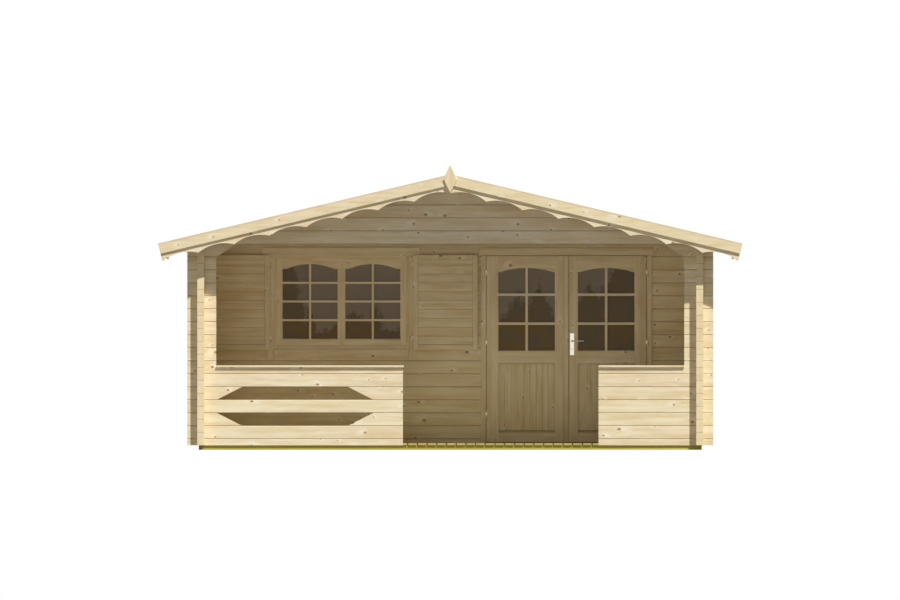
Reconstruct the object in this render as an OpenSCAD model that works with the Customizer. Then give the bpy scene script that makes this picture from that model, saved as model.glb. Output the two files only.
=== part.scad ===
// Garden log cabin with a covered terrace.
// X runs along the front, Y from the terrace to the back, Z up.
// The origin is on the ground, under the middle of the roof.
// Walls are stacked logs that notch into each other at every corner: the logs
// of the side walls lie half a course lower than those of the cross walls.

/* [Logs] */
// Thickness of a wall log
log_t = 70; // [60:1:90]
// Height of one course of logs
course_h = 130; // [122:1:138]
// Courses in a side wall
side_courses = 16; // [16:1:19]
// Length of log that stands past a corner
log_tip = 100; // [60:5:160]
// Depth of the bevel along each edge of a log
bevel = 5; // [2:0.5:8]

/* [Plan] */
// Wall between the left side wall and the open left shutter
wall_left_w = 7; // [7:1:400]
// Wall between the open right shutter and the door's casing
wall_middle_w = 29; // [29:1:400]
// Wall between the door's casing and the right side wall
wall_right_w = 442; // [100:1:800]
// Depth over the front and rear walls
cabin_d = 5060; // [4000:10:5400]
// Depth of the terrace, front face to the cabin's own front wall
terrace_d = 1500; // [1200:10:2000]

/* [Foundation and floors] */
// Height of a foundation beam
beam_h = 45; // [40:1:70]
// Width of a foundation beam
beam_w = 70; // [60:1:100]
// How far the beams stand back from the wall faces
beam_inset = 15; // [5:1:30]
// Beams that run across, front to back
cross_beams = 9; // [6:1:12]
// Thickness of the terrace deck
deck_t = 21; // [18:1:28]
// Thickness of the room's floor boards
floor_t = 20; // [18:1:24]

/* [Front of the terrace] */
// Width of the log stub inside each side wall
stub_w = 120; // [80:5:200]
// How far the bracket on the top stub log reaches out
bracket_run = 210; // [80:5:260]
// Length of the left balustrade inside the side wall
balustrade_left_w = 1987; // [1700:1:2200]
// Length of the right balustrade inside the side wall
balustrade_right_w = 977; // [600:1:1200]
// Thickness of the handrail board
rail_t = 19; // [18:1:40]
// How far the handrail stands past the logs
rail_lap = 20; // [10:1:40]
// How far the left handrail stands past its balustrade
rail_past = 8; // [0:1:20]
// Log left beside the long edge of the balustrade's cut-outs
cutout_side = 294; // [230:1:400]
// Run of the slanting ends of those cut-outs
cutout_slant = 257; // [100:1:400]

/* [Window] */
// Width over the window frame
window_w = 1420; // [1200:10:1600]
// Underside of the window frame
window_sill_z = 972; // [900:1:1000]
// Top of the window frame and of the door frame
head_z = 1975; // [1960:1:2000]
// Width of the frame's sides
window_side = 64; // [50:1:80]
// Height of the frame's lower member
window_bottom = 74; // [60:1:90]
// Height of the frame's upper member
window_top = 86; // [70:1:100]
// Thickness of a sash
sash_t = 40; // [36:1:50]
// How far the sashes lie behind the wall's face
sash_in = 6; // [0:1:15]
// Width of a sash's outer stile
sash_stile = 59; // [50:1:70]
// Width of a sash's meeting stile
sash_meeting = 39; // [30:1:50]
// Height of a sash's bottom rail
sash_bottom = 65; // [50:1:80]
// Height of a sash's top rail over the crown of the arch
sash_crown = 32; // [24:1:50]
// Rise of the arch over each sash
sash_rise = 49; // [30:1:60]
// Flat shoulder at each end of a sash's arch
sash_shoulder = 10; // [2:1:30]
// Radius of the small arcs at the ends of a sash's arch
sash_ogee = 140; // [20:5:200]
// Gap between the two sashes
sash_gap = 2; // [1:0.5:4]

/* [Casings] */
// Thickness of the casing boards
casing_t = 18; // [14:1:24]
// Width of the window's side casings
window_casing_w = 70; // [50:1:80]
// How far the side casings leave the window frame bare
window_reveal = 28; // [20:1:40]
// How far the top casing leaves the window frame bare
window_reveal_top = 48; // [30:1:60]
// How far the bottom casing leaves the window frame bare
window_reveal_low = 41; // [30:1:50]
// Height of the window's top casing
window_casing_top = 89; // [70:1:100]
// How far the top casing stands past the side casings
window_casing_ear = 48; // [20:1:60]
// Height of the window's bottom casing
window_casing_bottom = 77; // [60:1:90]
// How far the side casings hang below the bottom casing
window_casing_drop = 30; // [10:1:40]
// Width of the door's side casings
door_casing_w = 52; // [46:1:70]
// Height of the door's top casing
door_casing_top = 76; // [60:1:90]
// How far the door's top casing stands past the side casings
door_casing_ear = 18; // [10:1:24]

/* [Double door] */
// Width over the door frame
door_w = 1684; // [1500:2:1900]
// Width of the door frame's posts
door_jamb = 38; // [30:1:45]
// Height of the door frame's head
door_head = 32; // [28:1:45]
// Width of the stop that the leaves close against
stop_w = 12; // [8:1:20]
// How far a door leaf stands proud of the casing
leaf_proud = 2; // [0:0.5:4]
// Height of the threshold
sill_h = 25; // [23:1:35]
// Clearance beside and over a door leaf
door_gap = 5; // [5:0.5:8]
// Clearance under and behind a door leaf
door_gap_low = 6; // [6:0.5:9]
// Clearance between the two leaves
meet_gap = 7; // [6:0.5:9]
// Thickness of a door leaf
leaf_t = 40; // [36:1:50]
// Width of the stile on the hinge side
leaf_stile = 120; // [100:1:130]
// Width of the glass opening in a leaf
leaf_glass_w = 563; // [480:1:580]
// Height of the bottom rail
leaf_bottom = 90; // [70:1:120]
// How far the lower panel lies behind the leaf's faces
leaf_recess = 10; // [4:1:14]
// Top of the lower panel
leaf_panel_z = 863; // [800:1:900]
// Underside of the glass
leaf_glass_z = 993; // [930:1:1030]
// Height of the top rail over the crown of the arch
leaf_crown = 120; // [100:1:140]
// Rise of the arch over the glass
leaf_rise = 42; // [30:1:60]
// Flat shoulder at each end of the arch
leaf_shoulder = 8; // [2:1:30]
// Radius of the small arcs at the ends of the arch
leaf_ogee = 50; // [20:5:200]
// Width of the strip along the meeting edge
strip_w = 38; // [20:1:50]
// Thickness of that strip
strip_t = 10; // [6:1:14]
// How far the leaves meet right of the middle
meet_shift = 21; // [0:0.5:30]
// Thickness of the glass
glass_t = 4; // [3:1:8]

/* [Shutters] */
// Gap between the two shutters when they are closed
shutter_meet = 78; // [10:1:120]
// Height of a shutter
shutter_h = 951; // [900:1:980]
// Underside of the shutters
shutter_z = 998; // [980:1:1020]
// Thickness of a shutter
shutter_t = 28; // [24:1:34]
// Width of the shutter's frame boards
shutter_frame = 50; // [40:1:60]
// How far the boards lie behind the shutter's frame
shutter_recess = 4; // [2:0.5:6]
// Clearance behind a shutter
shutter_gap = 6; // [5:0.5:10]
// Gap between the hinge's middle and the shutter's edge
shutter_edge = 13; // [11:0.5:16]
// Hinge's middle, measured in from the casing's inner edge
shutter_pin_in = 28; // [22:1:32]
// Height of the shutter hinges over and under the shutter's middle
shutter_pin_z = 369; // [300:1:400]

/* [Hinges and handle] */
// Radius of a hinge pin
pin_r = 4; // [3:0.5:5]
// Radius of a hinge knuckle
knuckle_r = 6; // [5.5:0.5:8]
// Running clearance of a pin
pin_clear = 0.1; // [0.05:0.01:0.1]
// How far a pin ends below the top of its hinge
pin_short = 2; // [1:0.5:5]
// Thickness of a hinge's web and arms
arm_t = 5; // [4:0.5:7]
// How far a door hinge's arm laps onto the leaf
arm_lap = 6; // [4:1:12]
// Height of a shutter hinge
shutter_hinge_h = 60; // [40:1:80]
// Height of a door hinge
door_hinge_h = 72; // [50:1:90]
// Gap between the door hinge's middle and the leaf's edge
door_edge = 12; // [11:0.5:14]
// Height of the lowest door hinge
door_hinge_low = 343; // [250:1:450]
// Height of the middle door hinge
door_hinge_mid = 1058; // [950:1:1150]
// Height of the topmost door hinge
door_hinge_high = 1758; // [1650:1:1850]
// Height of the door handle's plate
plate_h = 219; // [180:1:250]
// Width of the door handle's plate
plate_w = 40; // [36:1:50]
// Thickness of the door handle's plate
plate_t = 3; // [2:0.5:6]
// Gap between the leaf's edge and the door handle's plate
plate_in = 12; // [10:1:30]
// Underside of the door handle's plate
plate_z = 946; // [900:1:980]
// Length of the lever
lever_l = 119; // [100:1:140]
// Radius of the lever
lever_r = 8.5; // [7:0.5:10]
// Height of the lever over the plate's underside
lever_up = 142; // [120:1:160]
// How far the lever stands off the plate
lever_out = 45; // [35:1:60]

/* [Roof] */
// Pitch of the roof in degrees
roof_pitch = 13.3; // [10:0.1:16]
// Thickness of the roof boards
roof_t = 20; // [18:1:26]
// How far the roof boards run past the side walls
eave_run = 320; // [300:5:400]
// Roof past the front wall
front_run = 270; // [220:5:400]
// Roof past the rear wall
rear_run = 200; // [150:5:300]
// Width of a purlin
purlin_w = 60; // [45:1:80]
// Height of a purlin
purlin_h = 120; // [100:1:130]
// Thickness of the laths along the roof's edges
lath_t = 20; // [16:1:24]
// Width of those laths
lath_w = 45; // [30:1:60]
// Thickness of the bargeboards and of the valance
barge_t = 18; // [16:1:24]
// Width of the bargeboards
barge_w = 107; // [90:1:130]
// How far the bargeboards run past the roof boards
barge_past = 72; // [30:1:80]
// Depth of the valance at its points, from its upper edge
valance_h = 185; // [170:1:200]
// Plain stretch at the valance's low end
scallop_end = 42; // [10:1:80]
// Scallops on each side
scallops = 8; // [6:1:8]
// Rise of a scallop
scallop_rise = 43; // [25:1:50]
// Blunt tip between two scallops
scallop_tip = 6; // [4:1:12]
// Thickness of the eave fascia
fascia_t = 20; // [16:1:24]
// Height of the eave fascia
fascia_h = 137; // [100:1:150]
// Roof boards past the fascia
fascia_in = 15; // [5:1:30]
// Height of the finial
finial_h = 293; // [200:1:320]
// Width of the finial
finial_w = 137; // [100:1:160]
// Thickness of the finial
finial_t = 20; // [16:1:30]
// Height of the finial above the bargeboards
finial_up = 95; // [60:1:120]

/* [Hidden] */
$fn = 48;

// Steps in each arc of an arch
arch_steps = 8;
// Extra length of a cutting solid, so that it leaves no skin
cut = 1;
// Gap left round a pane so that it is not pinched
pane_gap = 0.3;
// Gap between the two halves of a hinge
hinge_gap = 0.3;

// Heights
base_z = beam_h;
half_h = course_h / 2;
line_z = base_z + half_h;
side_top = base_z + side_courses * course_h;
gable_z = line_z + (side_courses - 1) * course_h;
rail_course = 5;
rail_z = line_z + rail_course * course_h;
rail_top = rail_z + half_h;

// Plan: the pieces along the cabin's front wall add up to its width
window_clear = window_w - 2 * window_side;
shutter_span = window_clear + 2 * window_reveal + 2 * shutter_pin_in;
door_clear = door_w - 2 * door_jamb;
shutter_w = (shutter_span - shutter_meet) / 2 - shutter_edge;
cabin_w = 2 * log_t + wall_left_w + 2 * (shutter_w + shutter_edge) + shutter_span
    + wall_middle_w + 2 * door_casing_w + door_clear + wall_right_w;
out_x = cabin_w / 2;
in_x = out_x - log_t;
tip_x = out_x + log_tip;
stub_x = in_x - stub_w;
entry_left = balustrade_left_w - in_x;
entry_right = in_x - balustrade_right_w;
cutout_x = (entry_left - tip_x) / 2;
cutout_long = entry_left + tip_x - 2 * cutout_side;
cutout_short = cutout_long - 2 * cutout_slant;

depth = finial_t + 2 * barge_t + front_run + cabin_d + rear_run + barge_t;
roof_y0 = finial_t + 2 * barge_t - depth / 2;
front_y = roof_y0 + front_run;
rear_y = front_y + cabin_d;
roof_y1 = rear_y + rear_run;
wall_y = front_y + terrace_d;

// Roof
slope = tan(roof_pitch);
apex_z = side_top + (out_x - log_t / 2) * slope;
eave_x = out_x + eave_run;
edge_up = (roof_t + lath_t) / cos(roof_pitch);
scallop_w = (eave_x + barge_past - scallop_end) / scallops;
purlin_pitch = 2 * scallop_w;
barge_u = (eave_x + barge_past) / cos(roof_pitch);
// Spare length over the ridge, cut off by the mitre
ridge_past = valance_h;
function roof_z(x) = apex_z - slope * abs(x);

// Window and shutters
shutter_pin_x0 = wall_left_w + shutter_w + shutter_edge - in_x;
shutter_pin_x1 = shutter_pin_x0 + shutter_span;
window_x = (shutter_pin_x0 + shutter_pin_x1) / 2;
window_x0 = window_x - window_w / 2;
window_x1 = window_x + window_w / 2;
sash_x0 = window_x0 + window_side;
sash_x1 = window_x1 - window_side;
sash_z0 = window_sill_z + window_bottom;
sash_z1 = head_z - window_top;
sash_w = (sash_x1 - sash_x0 - sash_gap) / 2;
sash_y = wall_y + sash_in;
casing_x0 = sash_x0 - window_reveal;
casing_x1 = sash_x1 + window_reveal;

// Double door
door_x1 = in_x - wall_right_w - door_casing_w + door_jamb;
door_x0 = door_x1 - door_w;
door_x = (door_x0 + door_x1) / 2;
leaf_x0 = door_x0 + door_jamb + door_gap;
leaf_x1 = door_x1 - door_jamb - door_gap;
leaf_z0 = base_z + sill_h + door_gap_low;
leaf_z1 = head_z - door_head - door_gap;
leaf_y = wall_y - casing_t - leaf_proud;
stop_y = leaf_y + leaf_t + door_gap_low;
meet_x0 = door_x + meet_shift - meet_gap / 2;
meet_x1 = meet_x0 + meet_gap;

// Hinge axes
door_hinge_z = [door_hinge_low, door_hinge_mid, door_hinge_high];
door_pin_y = leaf_y - knuckle_r;
door_pin_x0 = leaf_x0 - door_edge;
door_pin_x1 = leaf_x1 + door_edge;
shutter_y = wall_y - casing_t - shutter_gap - shutter_t / 2;
shutter_mid_z = shutter_z + shutter_h / 2;

spruce = [0.91, 0.82, 0.64];
treated = [0.72, 0.65, 0.34];
pane = [0.31, 0.28, 0.23, 0.5];
steel = [0.86, 0.85, 0.82];
iron = [0.35, 0.32, 0.28];

// ---- helpers ----

// A box between two corners
module span(a, b) translate(a) cube(b - a);

// Extrudes an outline drawn in X and Z from y0 to y1
module along_y(y0, y1) translate([0, y1, 0]) rotate([90, 0, 0]) linear_extrude(y1 - y0) children();

// Extrudes an outline drawn in Y and Z from x0 to x1
module along_x(x0, x1) translate([x0, 0, 0]) rotate([90, 0, 90]) linear_extrude(x1 - x0) children();

// Heights where two courses meet, for courses that start at z_first
function lines(z_first, z0, z1) =
    [for (k = [-1 : side_courses + 6]) let (z = z_first + k * course_h) if (z >= z0 && z <= z1) z];

// One face of a stack of logs, from z0 up to z1, with a bevel at each joint
function face(at, turn, z_first, z0, z1) = concat(
    len([for (z = lines(z_first, z0, z0)) z]) > 0 ? [] : [[at, z0]],
    [for (z = lines(z_first, z0, z1))
        for (p = [[0, -bevel], [turn * bevel, 0], [0, bevel]])
            if (z + p[1] >= z0 && z + p[1] <= z1) [at + p[0], z + p[1]]],
    len([for (z = lines(z_first, z1, z1)) z]) > 0 ? [] : [[at, z1]]
);
function reversed(list) = [for (i = [len(list) - 1 : -1 : 0]) list[i]];

// Outline of a stack of logs, log_t thick, from a0 on
module stack(a0, z_first, z0, z1)
    polygon(concat(face(a0, 1, z_first, z0, z1), reversed(face(a0 + log_t, -1, z_first, z0, z1))));

// Room in a cross wall for the necks of the side walls' logs
module side_necks(y)
    for (s = [-1, 1])
        for (k = [0 : side_courses - 1])
            translate([s * (out_x - log_t / 2), y + log_t / 2, line_z + k * course_h])
                cube([log_t, log_t, half_h], center = true);

// Room in a side wall for the necks of a cross wall's logs
module cross_necks(y)
    for (k = [-1 : side_courses - 1])
        translate([0, y + log_t / 2, line_z + half_h + k * course_h])
            cube([2 * cabin_w, log_t, half_h], center = true);

// A cross wall at y, cut to the outline given in X and Z
module cross_wall(y, z0) difference() {
    intersection() {
        along_x(-tip_x, tip_x) stack(y, line_z, z0, apex_z);
        along_y(y - cut, y + log_t + cut) children();
    }
    side_necks(y);
    purlin_seats(y);
}

// What lies under the roof boards, from eave to eave
module under_roof()
    polygon([[-eave_x, 0], [eave_x, 0], [eave_x, roof_z(eave_x)], [0, apex_z], [-eave_x, roof_z(eave_x)]]);

// Outline of a cross wall that reaches up to the roof boards from z0
module gable(z0) intersection() {
    under_roof();
    translate([-tip_x, z0]) square([2 * tip_x, apex_z]);
}

// Outline of one purlin, its top cut to the roof
module purlin_outline(x) intersection() {
    translate([x - purlin_w / 2, roof_z(x) - purlin_h]) square([purlin_w, purlin_h * 2]);
    under_roof();
}

module purlin_seats(y)
    for (i = [-2 : 2])
        let (x = i * purlin_pitch)
            span([x - purlin_w / 2, y - cut, roof_z(x) - purlin_h],
                 [x + purlin_w / 2, y + log_t + cut, apex_z + cut]);

// Right half of an ogee arch: out of its crown at [0, rise] in one arc, and
// down to [half, 0] in a small arc that turns the other way
function arch_half(half, rise, small_r) =
    let (turn = 2 * atan(rise / half), big_r = half / sin(turn) - small_r)
    concat(
        [for (i = [0 : arch_steps]) let (a = turn * i / arch_steps)
            [big_r * sin(a), rise - big_r + big_r * cos(a)]],
        [for (i = [arch_steps - 1 : -1 : 0]) let (a = turn * i / arch_steps)
            [half - small_r * sin(a), small_r * (1 - cos(a))]]
    );

// Window or door light: straight sides, short flat shoulders and an ogee arch
module light(x0, x1, z0, z1, rise, shoulder, small_r, shrink = 0) {
    arch = arch_half((x1 - x0) / 2 - shoulder - shrink, rise, small_r);
    mid = (x0 + x1) / 2;
    top = z1 - shrink;
    polygon(concat(
        [[x0 + shrink, top], [x0 + shrink, z0 + shrink], [x1 - shrink, z0 + shrink], [x1 - shrink, top]],
        [for (p = reversed(arch)) [mid + p[0], top + p[1]]],
        [for (i = [1 : len(arch) - 1]) [mid - arch[i][0], top + arch[i][1]]]
    ));
}

// Draws on the slope: X runs down the slope from the ridge, Y stands on it.
// up is the height over the roof boards' underside, s is the side.
module on_slope(s, up) mirror([s < 0 ? 1 : 0, 0]) intersection() {
    translate([0, apex_z + up]) rotate(-roof_pitch) children();
    square([cabin_w, 2 * apex_z]);
}

// ---- foundation and floors ----

module foundation_beams() color(treated) {
    x = out_x - beam_inset;
    y0 = front_y + beam_inset;
    y1 = rear_y - beam_inset;
    step = (y1 - y0 - beam_w) / (cross_beams - 1);
    for (s = [-1, 1])
        span([s * x - (s > 0 ? beam_w : 0), y0, 0], [s * x + (s > 0 ? 0 : beam_w), y1, beam_h]);
    for (i = [0 : cross_beams - 1])
        span([-x, y0 + i * step, 0], [x, y0 + i * step + beam_w, beam_h]);
    span([-x, wall_y + beam_inset, 0], [x, wall_y + beam_inset + beam_w, beam_h]);
}

module terrace_deck() color(treated) {
    span([-in_x, front_y + log_t, base_z], [in_x, wall_y, base_z + deck_t]);
    span([entry_left, front_y, base_z], [entry_right, front_y + log_t + cut, base_z + deck_t]);
}

module room_floor() color(spruce)
    span([-in_x, wall_y + log_t, base_z], [in_x, rear_y - log_t, base_z + floor_t]);

// ---- log walls ----

// The top log of a side wall runs on to carry the roof's overhangs
module side_wall(s) color(spruce) difference() {
    intersection() {
        mirror([s < 0 ? 1 : 0, 0, 0]) {
            along_y(front_y - log_tip, rear_y + log_tip) stack(in_x, base_z, base_z, side_top + course_h);
            along_y(roof_y0, roof_y1) stack(in_x, base_z, side_top - course_h, side_top + course_h);
        }
        along_y(roof_y0 - cut, roof_y1 + cut) under_roof();
    }
    for (y = [front_y, wall_y, rear_y - log_t]) cross_necks(y);
}

module rear_wall() color(spruce) cross_wall(rear_y - log_t, base_z) gable(base_z);

module front_gable() color(spruce) cross_wall(front_y, gable_z) gable(gable_z);

module corner_stubs() color(spruce)
    cross_wall(front_y, rail_z)
        for (s = [-1, 1])
            polygon([[s * tip_x, rail_z], [s * stub_x, rail_z], [s * stub_x, gable_z - course_h],
                     [s * (stub_x - bracket_run), gable_z], [s * tip_x, gable_z]]);

module balustrade(s, x_end) color(spruce)
    cross_wall(front_y, base_z) difference() {
        polygon([[s * tip_x, base_z], [x_end, base_z], [x_end, rail_top],
                 [s * stub_x, rail_top], [s * stub_x, rail_z], [s * tip_x, rail_z]]);
        if (s < 0) cutouts();
    }

// Two long cut-outs, one course high, that mirror each other about the course between
module cutouts() {
    z_mid = line_z + 2.5 * course_h;
    for (m = [0, 1])
        translate([cutout_x, z_mid]) mirror([0, m])
            polygon([[-cutout_long / 2, half_h], [cutout_long / 2, half_h],
                     [cutout_short / 2, half_h + course_h], [-cutout_short / 2, half_h + course_h]]);
}

module handrails() color(spruce)
    for (r = [[-stub_x, entry_left + rail_past], [entry_right, stub_x]])
        span([r[0], front_y - rail_lap, rail_top], [r[1], front_y + log_t + rail_lap, rail_top + rail_t]);

module cabin_wall(x0, x1, z0, z1) color(spruce)
    cross_wall(wall_y, z0) translate([x0, z0]) square([x1 - x0, z1 - z0]);

module cabin_wall_top() color(spruce) cross_wall(wall_y, head_z) gable(head_z);

// ---- window ----

module window_frame() color(spruce) along_y(wall_y, wall_y + log_t) difference() {
    translate([window_x0, window_sill_z]) square([window_w, head_z - window_sill_z]);
    translate([sash_x0, sash_z0]) square([sash_x1 - sash_x0, sash_z1 - sash_z0]);
}

module window_casing() color(spruce) {
    top_z = sash_z1 + window_reveal_top;
    low_z = sash_z0 - window_reveal_low;
    foot_z = low_z - window_casing_bottom;
    y0 = wall_y - casing_t;
    for (x = [casing_x0 - window_casing_w, casing_x1])
        span([x, y0, foot_z - window_casing_drop], [x + window_casing_w, wall_y, top_z]);
    span([casing_x0 - cut, y0, foot_z], [casing_x1 + cut, wall_y, low_z]);
    span([casing_x0 - window_casing_w - window_casing_ear, y0, top_z - cut],
         [casing_x1 + window_casing_w + window_casing_ear, wall_y, top_z + window_casing_top]);
}

// Outline of one sash's light; the right sash mirrors the left
module sash_light(s, shrink = 0)
    translate([window_x, 0]) mirror([s > 0 ? 1 : 0, 0]) translate([-window_x, 0])
        light(sash_x0 + sash_stile, sash_x0 + sash_w - sash_meeting, sash_z0 + sash_bottom,
              sash_z1 - sash_crown - sash_rise, sash_rise, sash_shoulder, sash_ogee, shrink);

module window_sashes() color(spruce) along_y(sash_y, sash_y + sash_t) difference() {
    for (x = [sash_x0, sash_x1 - sash_w])
        translate([x, sash_z0]) square([sash_w, sash_z1 - sash_z0]);
    for (s = [-1, 1]) sash_light(s);
}

module window_glass() color(pane)
    along_y(sash_y + sash_t / 2, sash_y + sash_t / 2 + glass_t)
        for (s = [-1, 1]) sash_light(s, pane_gap);

// ---- double door ----

module door_frame() color(spruce) {
    for (s = [-1, 1]) {
        outer = door_x + s * door_w / 2;
        inner = outer - s * door_jamb;
        stop = inner - s * stop_w;
        span([min(outer, inner), wall_y, base_z], [max(outer, inner), wall_y + log_t, head_z]);
        span([min(outer, stop), stop_y, base_z], [max(outer, stop), wall_y + log_t, head_z]);
    }
    span([door_x0, wall_y, head_z - door_head], [door_x1, wall_y + log_t, head_z]);
    span([door_x0, stop_y, head_z - door_head - stop_w], [door_x1, wall_y + log_t, head_z]);
}

module door_sill() color(treated) {
    post = door_jamb + stop_w;
    span([door_x0 + post, wall_y, base_z], [door_x1 - post, wall_y + log_t, base_z + sill_h]);
}

module door_casing() color(spruce) {
    z0 = base_z + deck_t;
    z1 = head_z - door_head;
    y0 = wall_y - casing_t;
    x0 = door_x0 + door_jamb - door_casing_w;
    x1 = door_x1 - door_jamb;
    for (x = [x0, x1]) span([x, y0, z0], [x + door_casing_w, wall_y, z1 + cut]);
    span([x0 - door_casing_ear, y0, z1],
         [x1 + door_casing_w + door_casing_ear, wall_y, z1 + door_casing_top]);
}

// x0 and x1 are the leaf's edges, g0 the left edge of its glass
module door_leaf(x0, x1, g0) color(spruce) difference() {
    span([x0, leaf_y, leaf_z0], [x1, leaf_y + leaf_t, leaf_z1]);
    along_y(leaf_y - cut, leaf_y + leaf_t + cut) leaf_light(g0);
    for (y = [leaf_y - cut, leaf_y + leaf_t - leaf_recess])
        span([g0, y, leaf_z0 + leaf_bottom], [g0 + leaf_glass_w, y + leaf_recess + cut, leaf_panel_z]);
}
module leaf_light(g0, shrink = 0)
    light(g0, g0 + leaf_glass_w, leaf_glass_z, leaf_z1 - leaf_crown - leaf_rise, leaf_rise, leaf_shoulder,
          leaf_ogee, shrink);
module door_glass(g0) color(pane)
    along_y(leaf_y + leaf_t / 2, leaf_y + leaf_t / 2 + glass_t) leaf_light(g0, pane_gap);

glass_left_x = leaf_x0 + leaf_stile;
glass_right_x = leaf_x1 - leaf_stile - leaf_glass_w;

module door_leaf_left() {
    door_leaf(leaf_x0, meet_x0, glass_left_x);
    color(spruce) span([meet_x0 - strip_w, leaf_y - strip_t, leaf_z0], [meet_x0, leaf_y + cut, leaf_z1]);
}
module door_leaf_right() door_leaf(meet_x1, leaf_x1, glass_right_x);

module door_handle() color(steel) {
    x = meet_x1 + plate_in + plate_w / 2;
    for (m = [0, 1])
        translate([x, leaf_y + leaf_t / 2, plate_z]) mirror([0, m, 0]) translate([0, -leaf_t / 2, 0]) {
            span([-plate_w / 2, -plate_t, 0], [plate_w / 2, 0, plate_h]);
            translate([0, -lever_out, lever_up]) rotate([-90, 0, 0])
                cylinder(h = lever_out - cut, r = lever_r);
            translate([-lever_r, -lever_out, lever_up]) rotate([0, 90, 0])
                cylinder(h = lever_l + lever_r, r = lever_r);
        }
}

// ---- hinges ----

// Fixed half of a hinge: a knuckle with its pin, carried by a web that reaches back
module fixed_hinge(x, y, z, h, reach) translate([x, y, z - h / 2]) {
    cylinder(h = h / 2, r = knuckle_r);
    cylinder(h = h - pin_short, r = pin_r);
    span([-arm_t / 2, 0, 0], [arm_t / 2, reach, h / 2]);
}

// Moving half: an eye on the pin, with an arm out to side s
module hinge_eye(x, y, z, h, s, reach, y0, y1) translate([x, y, z + hinge_gap]) difference() {
    union() {
        cylinder(h = h / 2 - hinge_gap, r = knuckle_r);
        span([min(0, s * reach), y0, 0], [max(0, s * reach), y1, h / 2 - hinge_gap]);
    }
    translate([0, 0, -cut]) cylinder(h = h, r = pin_r + pin_clear);
}

module hinge_pins() color(iron) {
    for (x = [door_pin_x0, door_pin_x1]) for (z = door_hinge_z)
        fixed_hinge(x, door_pin_y, z, door_hinge_h, wall_y - casing_t - door_pin_y);
    for (x = [shutter_pin_x0, shutter_pin_x1]) for (s = [-1, 1])
        fixed_hinge(x, shutter_y, shutter_mid_z + s * shutter_pin_z, shutter_hinge_h,
                    wall_y - casing_t - shutter_y);
}

module door_hinges(x, s) color(iron)
    for (z = door_hinge_z)
        hinge_eye(x, door_pin_y, z, door_hinge_h, s, door_edge + arm_lap,
                  leaf_y - arm_t - door_pin_y, leaf_y - door_pin_y);

module shutter_hinges(x, s) color(iron)
    for (d = [-1, 1])
        hinge_eye(x, shutter_y, shutter_mid_z + d * shutter_pin_z, shutter_hinge_h, s, shutter_edge,
                  -arm_t / 2, arm_t / 2);

// ---- shutters ----

module shutter(x, s) color(spruce)
    translate([x + s * (shutter_edge + shutter_w / 2), shutter_y, shutter_mid_z]) difference() {
        cube([shutter_w, shutter_t, shutter_h], center = true);
        for (m = [-1, 1])
            translate([0, m * shutter_t / 2, 0])
                cube([shutter_w - 2 * shutter_frame, 2 * shutter_recess, shutter_h - 2 * shutter_frame],
                     center = true);
    }

// ---- roof ----

module purlins() color(spruce)
    for (i = [-2 : 2]) along_y(roof_y0, roof_y1) purlin_outline(i * purlin_pitch);

// Outline of a layer on the roof: it starts t0 over the boards' underside
module roof_layer(s, t0, t) {
    up0 = t0 / cos(roof_pitch);
    up1 = (t0 + t) / cos(roof_pitch);
    polygon([[0, apex_z + up0], [s * eave_x, roof_z(eave_x) + up0],
             [s * eave_x, roof_z(eave_x) + up1], [0, apex_z + up1]]);
}

module roof_boards(s) color(spruce) along_y(roof_y0, roof_y1) roof_layer(s, 0, roof_t);

module verge_laths() color(spruce)
    for (y = [roof_y0, roof_y1 - lath_w])
        along_y(y, y + lath_w)
            for (s = [-1, 1]) roof_layer(s, roof_t, lath_t);

// Outline of one bargeboard
module barge(s) on_slope(s, edge_up)
    translate([-ridge_past, -barge_w]) square([ridge_past + barge_u, barge_w]);

module bargeboard(s) color(spruce)
    along_y(roof_y0 - 2 * barge_t, roof_y0 - barge_t) barge(s);

module bargeboards_rear() color(spruce)
    along_y(roof_y1, roof_y1 + barge_t) {
        barge(-1);
        barge(1);
    }

// Scalloped board behind each front bargeboard
module valance(s) color(spruce) along_y(roof_y0 - barge_t, roof_y0) on_slope(s, edge_up) {
    pitch = scallop_w / cos(roof_pitch);
    half = (pitch - scallop_tip) / 2;
    r = (half * half + scallop_rise * scallop_rise) / (2 * scallop_rise);
    start = valance_h * slope;
    difference() {
        translate([-ridge_past, -valance_h]) square([ridge_past + barge_u, valance_h]);
        for (k = [0 : scallops - 1])
            translate([start + (k + 0.5) * pitch, -valance_h - r + scallop_rise]) circle(r, $fn = 180);
    }
}

module finial() color(spruce) {
    z1 = apex_z + edge_up + finial_up;
    y0 = roof_y0 - 2 * barge_t - finial_t;
    along_y(y0, y0 + finial_t)
        translate([0, z1 - finial_h / 2]) polygon([for (a = [0 : 90 : 270])
            [finial_w / 2 * sin(a), finial_h / 2 * cos(a)]]);
}

module eave_fascias() color(spruce)
    along_y(roof_y0, roof_y1) intersection() {
        under_roof();
        for (s = [-1, 1])
            translate([s * (eave_x - fascia_in - fascia_t / 2), roof_z(eave_x - fascia_in)])
                square([fascia_t, 2 * fascia_h], center = true);
    }

// ---- nodes ----

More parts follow.
